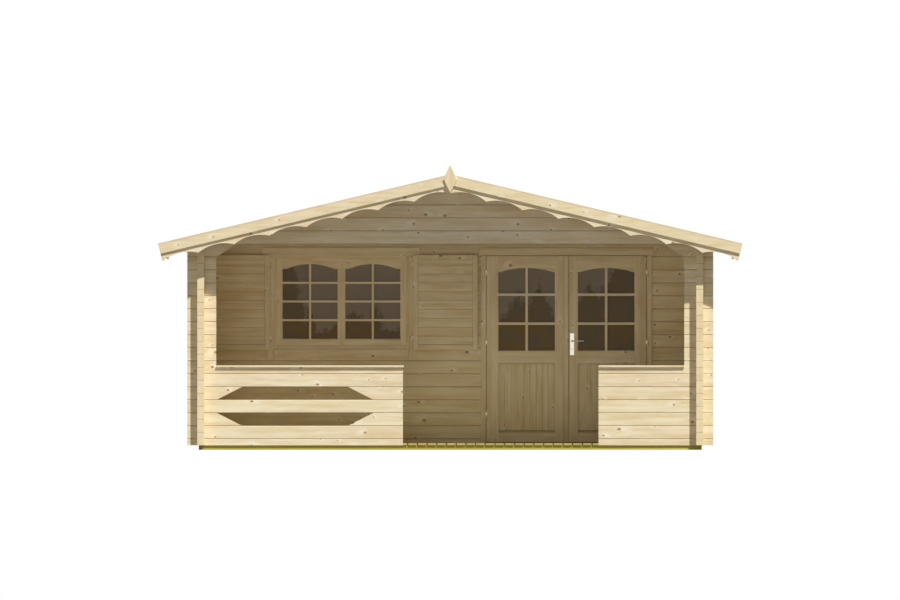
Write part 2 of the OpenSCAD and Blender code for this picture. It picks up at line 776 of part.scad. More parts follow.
foundation_beams();
terrace_deck();
room_floor();
side_wall(-1);  // side_wall_left
side_wall(1);  // side_wall_right
rear_wall();
front_gable();
corner_stubs();
balustrade(-1, entry_left);  // balustrade_left
balustrade(1, entry_right);  // balustrade_right
handrails();
cabin_wall(-tip_x, window_x0, base_z, head_z);  // cabin_wall_left
cabin_wall(window_x0, window_x1, base_z, window_sill_z);  // cabin_wall_under_window
cabin_wall(window_x1, door_x0, base_z, head_z);  // cabin_wall_middle
cabin_wall(door_x1, tip_x, base_z, head_z);  // cabin_wall_right
cabin_wall_top();
window_frame();
window_casing();
window_sashes();
window_glass();
door_frame();
door_sill();
door_casing();
hinge_pins();
door_leaf_left();
door_glass(glass_left_x);  // door_glass_left
door_hinges(door_pin_x0, 1);  // door_hinges_left
door_leaf_right();
door_glass(glass_right_x);  // door_glass_right
door_hinges(door_pin_x1, -1);  // door_hinges_right
door_handle();
shutter(shutter_pin_x0, -1);  // shutter_left
shutter_hinges(shutter_pin_x0, -1);  // shutter_hinges_left
shutter(shutter_pin_x1, 1);  // shutter_right
shutter_hinges(shutter_pin_x1, 1);  // shutter_hinges_right
purlins();
roof_boards(-1);  // roof_boards_left
roof_boards(1);  // roof_boards_right
verge_laths();
bargeboard(-1);  // bargeboard_left
bargeboard(1);  // bargeboard_right
valance(-1);  // valance_left
valance(1);  // valance_right
finial();
bargeboards_rear();
eave_fascias();
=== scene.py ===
# %% [markdown]
# # Garden log cabin
# The construction already exists: every log, board and hinge is an exact solid at its real
# size. This lesson dresses it. Logs that have the right shape only get a finish, and the
# pieces whose small shapes matter, such as door leaves and floor boards, are modelled anew
# and stand in for their plain solids. All lengths are in metres, the front faces -Y.

# %% Load the construction
import math
import random

import bpy
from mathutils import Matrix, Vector


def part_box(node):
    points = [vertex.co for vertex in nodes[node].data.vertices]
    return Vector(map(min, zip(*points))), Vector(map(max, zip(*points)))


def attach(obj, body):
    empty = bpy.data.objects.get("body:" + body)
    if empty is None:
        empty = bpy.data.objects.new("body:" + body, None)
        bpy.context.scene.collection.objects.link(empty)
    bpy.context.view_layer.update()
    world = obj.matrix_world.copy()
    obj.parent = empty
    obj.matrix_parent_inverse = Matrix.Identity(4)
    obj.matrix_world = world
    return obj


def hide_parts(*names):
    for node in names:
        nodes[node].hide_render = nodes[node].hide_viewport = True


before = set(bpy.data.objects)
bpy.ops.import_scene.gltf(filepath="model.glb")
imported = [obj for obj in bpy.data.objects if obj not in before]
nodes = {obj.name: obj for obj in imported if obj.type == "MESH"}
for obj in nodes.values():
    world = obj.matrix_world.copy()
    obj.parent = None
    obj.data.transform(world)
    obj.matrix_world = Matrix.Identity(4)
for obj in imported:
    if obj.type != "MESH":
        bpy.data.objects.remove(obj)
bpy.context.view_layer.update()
luck = random.Random(7)

# %% [markdown]
# ## Places come from the construction
# Nothing is placed by eye. A node's box gives its outer size, and the distinct coordinates of
# its corners give the lines inside it, such as where a casing's boards meet. That way a new
# piece fits its neighbours even when the construction is rebuilt at another size.

# %% Read places
SAME = 0.0003
X, Y, Z = 0, 1, 2


def levels(node, axis):
    """The distinct coordinates of a node's corners along one axis, lowest first."""
    found = []
    for value in sorted(corner.co[axis] for corner in nodes[node].data.vertices):
        if not found or value - found[-1] > SAME:
            found.append(value)
    return found


front_y = levels("front_gable", Y)[0]
wall_y = levels("cabin_wall_middle", Y)[0]
floor_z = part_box("terrace_deck")[1].z
print("front at", round(front_y, 3), "cabin wall at", round(wall_y, 3), "deck at", round(floor_z, 3))

# %% [markdown]
# ## Shader maths that reads like maths
# A procedural finish is mostly arithmetic on coordinates. Wiring each sum by hand hides the
# idea, so a socket is wrapped in a small class: adding two sockets adds a Math node. Other
# nodes come from one method that takes their type, settings and inputs.


# %% A socket that takes part in sums
class Socket:
    """An output of a shader node that Python expressions can use."""

    def __init__(self, finish, out):
        self.finish = finish
        self.out = out

    def math(self, operation, *values):
        """A Math node of one operation on the values, which may be sockets or numbers."""
        return self.finish.node("ShaderNodeMath", {"operation": operation}, dict(enumerate(values)))

    def __add__(self, other):
        return self.math("ADD", self, other)

    def __radd__(self, other):
        return self.math("ADD", other, self)

    def __sub__(self, other):
        return self.math("SUBTRACT", self, other)

    def __rsub__(self, other):
        return self.math("SUBTRACT", other, self)

    def __mul__(self, other):
        return self.math("MULTIPLY", self, other)

    def __rmul__(self, other):
        return self.math("MULTIPLY", other, self)

    def __truediv__(self, other):
        return self.math("DIVIDE", self, other)

    def __rtruediv__(self, other):
        return self.math("DIVIDE", other, self)

    def __pow__(self, other):
        return self.math("POWER", self, other)

    def __abs__(self):
        return self.math("ABSOLUTE", self)

    def whole(self):
        return self.math("FLOOR", self)

    def root(self):
        return self.math("SQRT", self)

    def over(self, limit):
        """1 where the value is over the limit, 0 elsewhere."""
        return self.math("GREATER_THAN", self, limit)

    def wave(self):
        """A sine wave from 0 to 1, one turn for each unit."""
        return self.math("SINE", self * math.tau) * 0.5 + 0.5

    def fade(self, low, high, at_low=0.0, at_high=1.0):
        """A smooth step from at_low, where the value is low, to at_high, where it is high."""
        settings = {"interpolation_type": "SMOOTHSTEP"}
        values = {"Value": self, "From Min": low, "From Max": high, "To Min": at_low, "To Max": at_high}
        return self.finish.node("ShaderNodeMapRange", settings, values)


# %% One method for every other node
class Finish:
    """A procedural material while it is being made."""

    def __init__(self, name, roughness, metallic=0.0):
        self.material = bpy.data.materials.new(name)
        self.material.use_nodes = True
        self.tree = self.material.node_tree
        self.surface = self.tree.nodes["Principled BSDF"]
        self.surface.inputs["Roughness"].default_value = roughness
        self.surface.inputs["Metallic"].default_value = metallic

    def node(self, kind, settings=None, inputs=None, output=0):
        """A new node with its settings, then its inputs, as the socket of one output."""
        made = self.tree.nodes.new(kind)
        for key, value in (settings or {}).items():
            setattr(made, key, value)
        for key, value in (inputs or {}).items():
            self.feed(made.inputs[key], value)
        return Socket(self, made.outputs[output])

    def feed(self, target, value):
        if isinstance(value, Socket):
            self.tree.links.new(value.out, target)
        else:
            target.default_value = value

    def place(self):
        """Object coordinates as three sockets."""
        return self.parts(self.node("ShaderNodeTexCoord", output="Object"))

    def facing(self):
        """The surface's own direction as three sockets."""
        return self.parts(self.node("ShaderNodeTexCoord", output="Normal"))

    def parts(self, vector):
        made = self.tree.nodes.new("ShaderNodeSeparateXYZ")
        self.feed(made.inputs[0], vector)
        return [Socket(self, out) for out in made.outputs]

    def vector(self, x, y=0.0, z=0.0):
        return self.node("ShaderNodeCombineXYZ", None, {0: x, 1: y, 2: z})

    def noise(self, vector, scale=1.0, detail=2.0, roughness=0.5):
        values = {"Vector": vector, "Scale": scale, "Detail": detail, "Roughness": roughness}
        return self.node("ShaderNodeTexNoise", None, values)

    def mix(self, factor, first, second, blend="MIX"):
        settings = {"data_type": "RGBA", "blend_type": blend}
        return self.node("ShaderNodeMix", settings, {0: factor, 6: first, 7: second}, output=2)

    def bump(self, height, depth):
        """Relief of the given depth where height is 1."""
        made = self.node("ShaderNodeBump", None, {"Height": height, "Distance": depth})
        self.feed(self.surface.inputs["Normal"], made)


def colour(red, green, blue):
    """A colour from the 0 to 255 values that a colour picker shows."""
    linear = [(v / 255 / 12.92) if v < 11 else ((v / 255 + 0.055) / 1.055) ** 2.4 for v in (red, green, blue)]
    return (*linear, 1.0)


print("shader helpers ready")

# %% [markdown]
# ## Spruce
# Each log and board is cut from another tree, so each has its own tone, its own streaks and
# its own knots. A tiled pattern would repeat itself on logs of five metres, so this one is
# worked out from the place along the grain and across it. A number per board shifts both,
# which breaks the pattern at every joint. Knots are the cells of a Voronoi texture, only some
# of which are used, and the streaks bend round them. Where the surface looks along the grain,
# as at a log's end, growth rings take the place of streaks.
#
# Little light gets into the corner where two boards of a piece meet, and an Ambient Occlusion
# node paints that soft dark line into the colour, a painted shade. It looks at its own piece only.
# If it saw the others too, an open shutter would leave its shade painted on the wall when it closes.

# %% Tones of the spruce
PALE_ROSY = colour(250, 234, 200)
PALE_STRAW = colour(249, 235, 197)
HONEY_ROSY = colour(227, 202, 154)
HONEY_STRAW = colour(226, 202, 151)
SWIRL = colour(254, 246, 218)
KNOT_RIM = colour(200, 158, 108)
KNOT_HEART = colour(122, 84, 54)
END_PALE = colour(246, 228, 183)
END_DARK = colour(222, 193, 139)
SEAM_AND_SHADE = colour(120, 92, 58)
print("spruce tones ready")

# %% Knots
KNOT_CELL = 0.17
KNOT_LEAST, KNOT_MORE = 0.0075, 0.016
KNOT_RAGGED = 0.006
KNOT_EDGE = (-0.002, 0.004)
KNOT_HEART_SHARE = 0.6
KNOT_REACH = 4.2
KNOT_TONE, SWIRL_TONE = 0.85, 0.75
NEVER_ZERO = 0.0001


def knots_of(finish, u, v, share):
    """Where knots lie in the wood, as masks, with the distance of each point to the side of its knot.

    The masks are the whole knot, its dark heart, the wood that bends round it and the pale swirl.
    """
    cell = finish.tree.nodes.new("ShaderNodeTexVoronoi")
    cell.voronoi_dimensions = "2D"
    finish.feed(cell.inputs["Vector"], finish.vector(u, v))
    finish.feed(cell.inputs["Scale"], 1 / KNOT_CELL)
    used, size, kind = finish.parts(Socket(finish, cell.outputs["Color"]))
    centre = finish.parts(Socket(finish, cell.outputs["Position"]))
    du, dv = u - centre[0], v - centre[1]
    lean = (kind - 0.5) * 1.1
    long, wide = du + dv * lean, (dv - du * lean) * (1.0 + kind * 0.9)
    away = (long * long + wide * wide).root()
    ragged = (finish.noise(finish.vector(u, v), scale=90.0, detail=1.0) - 0.5) * KNOT_RAGGED
    radius = used.over(1 - share) * (size * size * KNOT_MORE + KNOT_LEAST)
    knot = (away + ragged - radius).fade(*KNOT_EDGE, 1.0, 0.0)
    heart = (away + ragged - radius * KNOT_HEART_SHARE).fade(*KNOT_EDGE, 1.0, 0.0)
    heart = heart * kind.fade(0.1, 0.8, 0.2, 1.0)
    reach = (du * du * 0.25 + dv * dv).root() + ragged * 2.0
    near = (reach / (radius * KNOT_REACH + NEVER_ZERO)).fade(0.1, 1.0, 1.0, 0.0)
    side = kind.over(0.5) * 2.0 - 1.0
    swirl = near * ((du * side + dv * 1.2) / (away + 0.001)).fade(-0.6, 1.0)
    return knot, heart, near, swirl, dv


# %% Streaks along the grain
FIBRES, LINES = 330.0, 62.0
BAND_SHARE, CLOUD_SHARE, LINE_SHARE = 0.45, 0.36, 0.2
FIBRE_SHARE, BOARD_SHARE = 0.35, 0.16


def streaks_of(finish, u, v, flow, depth, tone):
    """How warm the wood is in its streaks, with the fine fibres and the growth lines alone."""
    drift = finish.noise(finish.vector(u * 2.2, v * 6.0), scale=1.0, detail=2.0) * 0.06
    bands = finish.noise(finish.vector(u * 0.9, (flow + drift) * 24.0, depth * 14.0), detail=3.0)
    cloud = finish.noise(finish.vector(u * 3.0, (flow + drift) * 13.0, depth * 9.0), detail=2.0)
    fibre = finish.noise(finish.vector(u * 7.0, flow * FIBRES, depth * FIBRES), detail=2.0)
    lines = ((flow + drift * 1.6) * LINES).wave() ** 3.0
    streak = bands.fade(0.34, 0.66) * BAND_SHARE + cloud.fade(0.36, 0.66) * CLOUD_SHARE + lines * LINE_SHARE
    streak = streak + (fibre - 0.5) * FIBRE_SHARE + (tone - 0.5) * BOARD_SHARE
    return streak, fibre, lines


# %% Rings at a cut end
RINGS = 150.0
HEART_STEP = 0.5
RING_SHARE, SAWN_SHARE, DAMP_SHARE, END_BOARD_SHARE = 0.4, 0.5, 1.2, 0.3


def end_grain(finish, place, v, depth, from_middle, heart, chance, tone):
    """Growth rings round a heart that lies beside the board, under saw marks and damp patches."""
    deep = abs(depth) + heart
    beside = deep - (deep / HEART_STEP).whole() * HEART_STEP + chance * 0.03
    radial = (from_middle * from_middle + beside * beside).root()
    rings = (radial * RINGS + finish.noise(finish.vector(v, depth), 30.0)).wave()
    here = finish.vector(*place)
    sawn = finish.noise(here, scale=260.0, detail=1.0) - 0.5
    damp = finish.noise(here, scale=17.0, detail=2.0) - 0.5
    end = rings * RING_SHARE + sawn * SAWN_SHARE + damp * DAMP_SHARE + (tone - 0.5) * END_BOARD_SHARE
    return finish.mix(end, END_PALE, END_DARK)


# %% The spruce finish
UNBROKEN = 10.0
COURSE_SEED, BOARD_SEED = 1.37, 61.0
GRAIN_SHIFT, CROSS_SHIFT = 23.0, 11.0
BEND = 0.75
SEAM_HALF = 0.0016
SEAM_TONE, SEAM_TONE_AT_END = 0.34, 0.2
CORNER_REACH = 0.07
CORNER_SHADE = 0.7
GRAIN_RELIEF = 0.0006


def spruce(name, along, across, pitch=UNBROKEN, start=-UNBROKEN / 2, heart=0.0, knots=0.33,
           streaks=1.0, joint=1.0, honey=0.0, painted_shade=0.0):
    """Planed spruce: the grain runs on the axis along, and boards lie side by side on the axis across.

    pitch and start place the boards' joints, and joint sets how dark they are. heart shifts the
    centre of the rings at a log's end. knots is the share of cells that hold a knot. streaks and
    honey set how much of the warmer tone there is, in streaks and all over. painted_shade darkens
    the whole wood toward the seam tone, a painted shade.
    """
    finish = Finish(name, roughness=0.62)
    place, facing = finish.place(), finish.facing()
    depth = place[3 - along - across]
    board = finish.node("ShaderNodeAttribute", {"attribute_name": "board"}, output="Fac")
    course = ((place[across] - start) / pitch).whole()
    seed = {"W": course * COURSE_SEED + board * BOARD_SEED}
    chance = finish.node("ShaderNodeTexWhiteNoise", {"noise_dimensions": "1D"}, seed, "Color")
    first, second, tone = finish.parts(chance)
    u = place[along] + first * GRAIN_SHIFT
    v = place[across] + second * CROSS_SHIFT

    knot, knot_heart, near, swirl, dv = knots_of(finish, u, v, knots)
    streak, fibre, lines = streaks_of(finish, u, v, v - dv * near * BEND, depth, tone)
    pale = finish.mix(second, PALE_ROSY, PALE_STRAW)
    dark = finish.mix(second, HONEY_ROSY, HONEY_STRAW)
    body = finish.mix(streak * streaks + honey, pale, dark)
    body = finish.mix(swirl * SWIRL_TONE, body, SWIRL)
    body = finish.mix(knot * KNOT_TONE, body, KNOT_RIM)
    body = finish.mix(knot_heart * KNOT_TONE, body, KNOT_HEART)

    from_middle = place[across] - start - (course + 0.5) * pitch
    cut_end = abs(facing[along]).fade(0.65, 0.8)
    body = finish.mix(cut_end, body, end_grain(finish, place, v, depth, from_middle, heart, first, tone))
    seam = (abs(from_middle) - pitch / 2 + SEAM_HALF * 2).fade(0.0, SEAM_HALF)
    body = finish.mix(seam * (SEAM_TONE + cut_end * SEAM_TONE_AT_END) * joint, body, SEAM_AND_SHADE)
    # Painted shade: the colour darkens toward the seam tone in inner corners that the Ambient Occlusion node
    # finds, and evenly by the last argument.
    settings = {"samples": 2, "only_local": True}
    open_air = finish.node("ShaderNodeAmbientOcclusion", settings, {"Distance": CORNER_REACH}, "AO")
    body = finish.mix((1 - open_air) * CORNER_SHADE + painted_shade, body, SEAM_AND_SHADE)

    finish.feed(finish.surface.inputs["Base Color"], body)
    finish.feed(finish.surface.inputs["Roughness"], 0.6 + fibre * 0.14 - knot * 0.15)
    finish.bump(fibre * 0.3 - knot * 0.4 + lines * 0.25, GRAIN_RELIEF)
    print("finish", name, "with", len(finish.tree.nodes), "nodes")
    return finish.material


# %% Spruce for each way that logs and boards lie
COURSE = 0.130
log_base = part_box("side_wall_left")[0].z
cross_log = spruce("spruce_cross_logs", X, Z, COURSE, log_base + COURSE / 2)
side_log = spruce("spruce_side_logs", Y, Z, COURSE, log_base, heart=0.1, honey=0.2)
board_x = spruce("spruce_boards_across", X, Z, knots=0.16)
board_z = spruce("spruce_boards_upright", Z, X, knots=0.16)
board_y = spruce("spruce_boards_deep", Y, X, knots=0.2)

# %% [markdown]
# ## Treated wood, steel and glass
# The foundation beams and the terrace boards are pressure treated, which turns spruce a
# yellow green. Handle and hinges are bright metal with a faint grain. The panes are dark,
# because the room behind them is, and glass in a garden mirrors trees. A true mirror would
# need a garden in front of it, so the panes hold the trees' shapes in their own colour.

# %% The treated finish
TREATED_LIGHT = colour(213, 195, 98)
TREATED_DARK = colour(171, 154, 68)
TREATED_FACE = colour(172, 160, 122)
BEAM_STEP = 0.62
DECK_PITCH, DECK_GAP = 0.0971, 0.011
TREATED_RELIEF = 0.0008


def treated(name, along, across, pitch, start):
    """Pressure-treated softwood, its grain on the axis along, paler where it faces up."""
    finish = Finish(name, roughness=0.75)
    place, facing = finish.place(), finish.facing()
    depth = place[3 - along - across]
    course = ((place[across] - start) / pitch).whole()
    tone = finish.node("ShaderNodeTexWhiteNoise", {"noise_dimensions": "1D"}, {"W": course + 0.5})
    u = place[along] + tone * 17.0
    bands = finish.noise(finish.vector(u * 0.8, place[across] * 60.0, depth * 60.0), detail=3.0)
    patches = finish.noise(finish.vector(*place), scale=5.0)
    body = finish.mix(bands.fade(0.3, 0.7) * 0.6 + tone * 0.3, TREATED_LIGHT, TREATED_DARK)
    body = finish.mix(patches.fade(0.4, 0.75) * 0.25, body, TREATED_DARK)
    body = finish.mix(facing[Z].fade(0.6, 0.9) * 0.6, body, TREATED_FACE)
    finish.feed(finish.surface.inputs["Base Color"], body)
    finish.bump(bands, TREATED_RELIEF)
    return finish.material


# %% The metals
WORN_METAL = colour(205, 200, 190)
BRUSH_LONG, BRUSH_FINE = 60.0, 900.0


def metal(name, tint, roughness):
    """Brushed metal with a faint level grain in its colour and gloss."""
    finish = Finish(name, roughness, metallic=1.0)
    x, y, z = finish.place()
    brushed = finish.vector(x * BRUSH_LONG, y * BRUSH_LONG, z * BRUSH_FINE)
    grain = finish.noise(brushed, detail=2.0)
    finish.feed(finish.surface.inputs["Base Color"], finish.mix(grain * 0.3, tint, WORN_METAL))
    finish.feed(finish.surface.inputs["Roughness"], roughness + grain * 0.12)
    return finish.material


# %% The panes
SKY_REFLECTION = colour(151, 139, 122)
TREE_REFLECTION = colour(116, 99, 66)
LEAF_REFLECTION = colour(130, 104, 56)
PANE_ALPHA = 0.88
PANE_GLOSS = 0.06
GROWTH_TOP, GROWTH_SLOPE = 1.2, 1.6
LEAVES_TOP, LEAVES_GONE = 1.22, 1.4
CONIFERS = (
    (-1.75, 2.75, 0.22), (-1.41, 1.47, 0.34), (-0.96, 1.40, 1.3), (-0.74, 1.48, 0.3),
    (0.68, 1.58, 0.66), (0.89, 1.69, 0.46), (1.40, 1.68, 0.6), (1.82, 2.2, 0.5),
)


def glass_mirroring_garden(name):
    """Window glass that holds the soft shapes of a garden: ragged conifers over low growth.

    They are a painted reflection of the garden in the pane's colour. Each conifer has a tip at x and z and a
    spread, its half width for each metre below the tip.
    """
    finish = Finish(name, roughness=0.04)
    x, _, z = finish.place()
    clump = finish.noise(finish.vector(x * 11.0, 0.0, z * 9.0), detail=4.0, roughness=0.65)
    twig = finish.noise(finish.vector(x * 46.0, 3.0, z * 17.0), detail=3.0, roughness=0.7)
    ragged = (clump - 0.5) * 0.26 + (twig - 0.5) * 0.12
    growth = (GROWTH_TOP - z + ragged) * GROWTH_SLOPE
    for tip_x, tip_z, spread in CONIFERS:
        growth = growth.math("MAXIMUM", growth, (tip_z - z) * spread - abs(x - tip_x) + ragged)
    trees = growth.fade(-0.02, 0.05)
    warm = finish.noise(finish.vector(x * 2.3, 7.0, z * 1.9), detail=2.0)
    leaves = warm.fade(0.46, 0.6) * z.fade(LEAVES_TOP, LEAVES_GONE, 1.0, 0.0)
    # Painted reflection: the base colour is the sky, trees and leaves that the pane mirrors.
    body = finish.mix(trees * 0.9 + (twig - 0.5) * 0.35, SKY_REFLECTION, TREE_REFLECTION)
    body = finish.mix(leaves * trees, body, LEAF_REFLECTION)
    finish.feed(finish.surface.inputs["Base Color"], body)
    finish.surface.inputs["Alpha"].default_value = PANE_ALPHA
    finish.surface.inputs["Specular IOR Level"].default_value = PANE_GLOSS
    return finish.material


treated_beam = treated("treated_beams", X, Y, BEAM_STEP, 0.0)
treated_board = treated("treated_boards", Y, X, DECK_PITCH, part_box("terrace_deck")[0].x)
bright_steel = metal("bright_steel", colour(216, 208, 196), 0.3)
hinge_steel = metal("hinge_steel", colour(192, 174, 138), 0.45)
pane_glass = glass_mirroring_garden("pane_glass")
print("treated wood, metals and glass ready")

# %% [markdown]
# ## Finishes for the logs
# The log walls, the gable and the purlins already have their true shape, with a bevel at each
# joint. Modelling them again would add nothing, so they keep their meshes and get a finish.

# %% Give a construction node its finish
def dress(material, *names):
    """Gives whole construction nodes one material."""
    for name in names:
        slots = nodes[name].data.materials
        slots.clear()
        slots.append(material)
    print(material.name, "on", len(names), "nodes")


dress(cross_log, "rear_wall", "front_gable", "corner_stubs", "balustrade_left", "balustrade_right")
dress(cross_log, "cabin_wall_left", "cabin_wall_under_window", "cabin_wall_middle")
dress(cross_log, "cabin_wall_right", "cabin_wall_top")
dress(side_log, "side_wall_left", "side_wall_right", "purlins", "eave_fascias")
dress(pane_glass, "window_glass", "door_glass_left", "door_glass_right")
dress(hinge_steel, "hinge_pins", "door_hinges_left", "door_hinges_right")
dress(hinge_steel, "shutter_hinges_left", "shutter_hinges_right")
dress(treated_beam, "foundation_beams", "door_sill")

# %% [markdown]
# ## Tools of the bench
# Every new piece is made with the same few operators that a person would use by hand. A board
# is a cube at its size and place with its edges eased, an array copies it, and boards that
# make one piece are joined. Each board gets its own number in an attribute, so the spruce
# finish gives it its own tone and knots.

# %% Edit one object at a time
def alone(piece):
    """Makes the piece the only selected and the active object."""
    bpy.ops.object.select_all(action="DESELECT")
    piece.select_set(True)
    bpy.context.view_layer.objects.active = piece


def edit(piece):
    """Opens the piece for editing, with all of it selected."""
    alone(piece)
    bpy.ops.object.mode_set(mode="EDIT")
    bpy.ops.mesh.select_all(action="SELECT")


def leave():
    """Closes the piece that was open for editing."""
    bpy.ops.object.mode_set(mode="OBJECT")


def settle(piece):
    """Moves the piece's place, turn and size into its mesh."""
    alone(piece)
    bpy.ops.object.transform_apply(location=True, rotation=True, scale=True)


# %% Number the boards
def number(piece):
    """Gives the whole piece one random number, which its finish reads."""
    marks = piece.data.attributes.new("board", "FLOAT", "FACE")
    chance = luck.random()
    for mark in marks.data:
        mark.value = chance
    return piece


# %% Make a board
EASE = 0.002
FINE_EASE = 0.001


def board(low, high, material, ease=EASE):
    """A planed board between two corners, with eased edges."""
    low, high = Vector(low), Vector(high)
    bpy.ops.object.select_all(action="DESELECT")
    bpy.ops.mesh.primitive_cube_add(size=1, location=(low + high) / 2, scale=high - low)
    piece = bpy.context.object
    settle(piece)
    edit(piece)
    bpy.ops.mesh.bevel(offset=ease, segments=2, affect="EDGES")
    leave()
    piece.data.materials.append(material)
    return number(piece)


# %% Repeat and join
def repeat(piece, count, step):
    """A row of the piece, applied to its mesh."""
    alone(piece)
    row = piece.modifiers.new("row", "ARRAY")
    row.count = count
    row.use_relative_offset = False
    row.use_constant_offset = True
    row.constant_offset_displace = step
    bpy.ops.object.modifier_apply(modifier=row.name)
    return piece


def join(parts):
    """One object out of all the parts."""
    alone(parts[0])
    for part in parts:
        part.select_set(True)
    if len(parts) > 1:
        bpy.ops.object.join()
    return bpy.context.object


# %% Cut, pick and round
PARALLEL = 0.99


def cut(piece, point, normal):
    """Cuts the piece at a plane, closes the cut and drops what lies on the normal's side."""
    edit(piece)
    bpy.ops.mesh.bisect(plane_co=point, plane_no=normal, use_fill=True, clear_outer=True)
    leave()


def pick(piece, kind, test, along=None):
    """Selects the edges or faces whose corners all pass the test, and opens the piece for editing.

    along keeps only the edges that run on that axis. The number found is returned.
    """
    alone(piece)
    bpy.context.tool_settings.mesh_select_mode = (False, kind == "edges", kind == "polygons")
    mesh = piece.data
    for part in (*mesh.vertices, *mesh.edges, *mesh.polygons):
        part.select = False
    for part in getattr(mesh, kind):
        corners = [mesh.vertices[i].co for i in part.vertices]
        part.select = all(test(corner) for corner in corners)
        if part.select and along is not None:
            run = (corners[0] - corners[1]).normalized()
            part.select = abs(run[along]) > PARALLEL
    found = sum(part.select for part in getattr(mesh, kind))
    bpy.ops.object.mode_set(mode="EDIT")
    return found


def round_edges(piece, width, angle=60.0, segments=2):
    """Rounds every edge sharper than the angle."""
    alone(piece)
    rounding = piece.modifiers.new("rounding", "BEVEL")
    rounding.width = width
    rounding.segments = segments
    rounding.limit_method = "ANGLE"
    rounding.angle_limit = math.radians(angle)
    bpy.ops.object.modifier_apply(modifier=rounding.name)
    return piece


# %% Hand a piece over to the frame
def stand_for(piece, name, body, *replaced, slot="spruce"):
    """Names the piece, hangs it on its body and lets it stand for construction nodes."""
    piece.name = name
    piece.data.name = name
    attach(piece, body)
    if replaced:
        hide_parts(*replaced)
    print(name, "with", len(piece.data.polygons), "faces, rides on", body)
    return piece


# %% [markdown]
# ## Terrace and room floors
# Decking boards run from the front to the cabin with a gap of 11 mm between them. Lines on a
# slab would not let one look into the gaps at the boards' ends, so real boards are laid: one
# is modelled and an array repeats it. Boards behind the balustrades stop at the logs, while
# those in the way in run to the front face, so there are three rows in step with each other.

# %% Lay the terrace
deck_low, deck_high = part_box("terrace_deck")
way_in = levels("terrace_deck", X)[1:3]
deck_back = levels("balustrade_left", Y)[-1]


def deck_row(x0, x1, front):
    """Decking between x0 and x1, in step with the first board of the terrace."""
    first = math.floor((x0 - deck_low.x) / DECK_PITCH + SAME)
    count = math.ceil((x1 - deck_low.x) / DECK_PITCH - SAME) - first
    start = deck_low.x + first * DECK_PITCH
    far_corner = (start + DECK_PITCH - DECK_GAP, deck_high.y, deck_high.z)
    row = board((start, front, deck_low.z), far_corner, treated_board)
    repeat(row, count, (DECK_PITCH, 0, 0))
    cut(row, (x0, 0, 0), (-1, 0, 0))
    cut(row, (x1, 0, 0), (1, 0, 0))
    return row


terrace = join([
    deck_row(deck_low.x, way_in[0], deck_back),
    deck_row(way_in[0], way_in[1], deck_low.y),
    deck_row(way_in[1], deck_high.x, deck_back),
])
stand_for(terrace, "terrace_boards", "root", "terrace_deck", slot="treated_wood")

# %% Lay the room's floor
room_low, room_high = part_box("room_floor")
ROOM_BOARDS = 51
ROOM_EASE = 0.0015
room_step = (room_high.x - room_low.x) / ROOM_BOARDS
room_board = board(room_low, (room_low.x + room_step, room_high.y, room_high.z), board_y, ROOM_EASE)
stand_for(repeat(room_board, ROOM_BOARDS, (room_step, 0, 0)), "room_boards", "root", "room_floor")

# %% [markdown]
# ## Roof boards
# Tongued boards run from the ridge down to the eaves, side by side along the roof. Their
# eased edges leave a fine V at each joint, seen from above and from under the overhangs. A
# relief in the finish would fade at the eaves, where the boards end, so they are real. A row
# is laid flat, turned to the roof's pitch, and then cut upright at the ridge and the eave.

# %% Lay both slopes
ROOF_BOARDS = 58
SPARE = 0.1
roof_low, roof_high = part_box("roof_boards_right")
eave_under, _, ridge_under, ridge_over = levels("roof_boards_right", Z)
pitch = math.atan2(ridge_under - eave_under, roof_high.x)
roof_thick = (ridge_over - ridge_under) * math.cos(pitch)
roof_step = (roof_high.y - roof_low.y) / ROOF_BOARDS
# The roof boards are darker all over, partly by their warmer tone and partly by painted shade that tones down
# the sun on the slopes.
slope_board = spruce("spruce_roof_boards", X, Y, roof_step, roof_low.y, knots=0.16, honey=0.5, painted_shade=0.2)

for side, name in ((-1, "roof_boards_left"), (1, "roof_boards_right")):
    run = side * (roof_high.x / math.cos(pitch) + SPARE)
    low = (min(run, -side * SPARE), roof_low.y, 0)
    high = (max(run, -side * SPARE), roof_low.y + roof_step, roof_thick)
    slope = repeat(board(low, high, slope_board), ROOF_BOARDS, (0, roof_step, 0))
    slope.rotation_euler = (0, side * pitch, 0)
    slope.location = (0, 0, ridge_under)
    settle(slope)
    cut(slope, (0, 0, 0), (-side, 0, 0))
    cut(slope, (side * roof_high.x, 0, 0), (side, 0, 0))
    stand_for(slope, name + "_laid", "root", name)
print("roof pitch", round(math.degrees(pitch), 1), "degrees")

# %% [markdown]
# ## Boards that frame the openings
# Casings and frames are plain boards nailed or jointed at their corners. In the construction
# each set is one solid. It could be dressed as it is, but the grain would then run the same
# way all round. So the lines are read from the solid's corners and every board is made on its
# own, with its grain along its length and a fine shadow at each joint.

# %% Window frame and casing
CASING_EASE = 0.005
FRAME_EASE = 0.003
frame_y0, frame_y1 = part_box("window_frame")[0].y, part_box("window_frame")[1].y
fx0, fx1, fx2, fx3 = levels("window_frame", X)
fz0, fz1, fz2, fz3 = levels("window_frame", Z)
window_frame = join([
    board((fx0, frame_y0, fz0), (fx1, frame_y1, fz3), board_z, FRAME_EASE),
    board((fx2, frame_y0, fz0), (fx3, frame_y1, fz3), board_z, FRAME_EASE),
    board((fx1, frame_y0, fz0), (fx2, frame_y1, fz1), board_x, FRAME_EASE),
    board((fx1, frame_y0, fz2), (fx2, frame_y1, fz3), board_x, FRAME_EASE),
])
stand_for(window_frame, "window_frame_boards", "root", "window_frame")

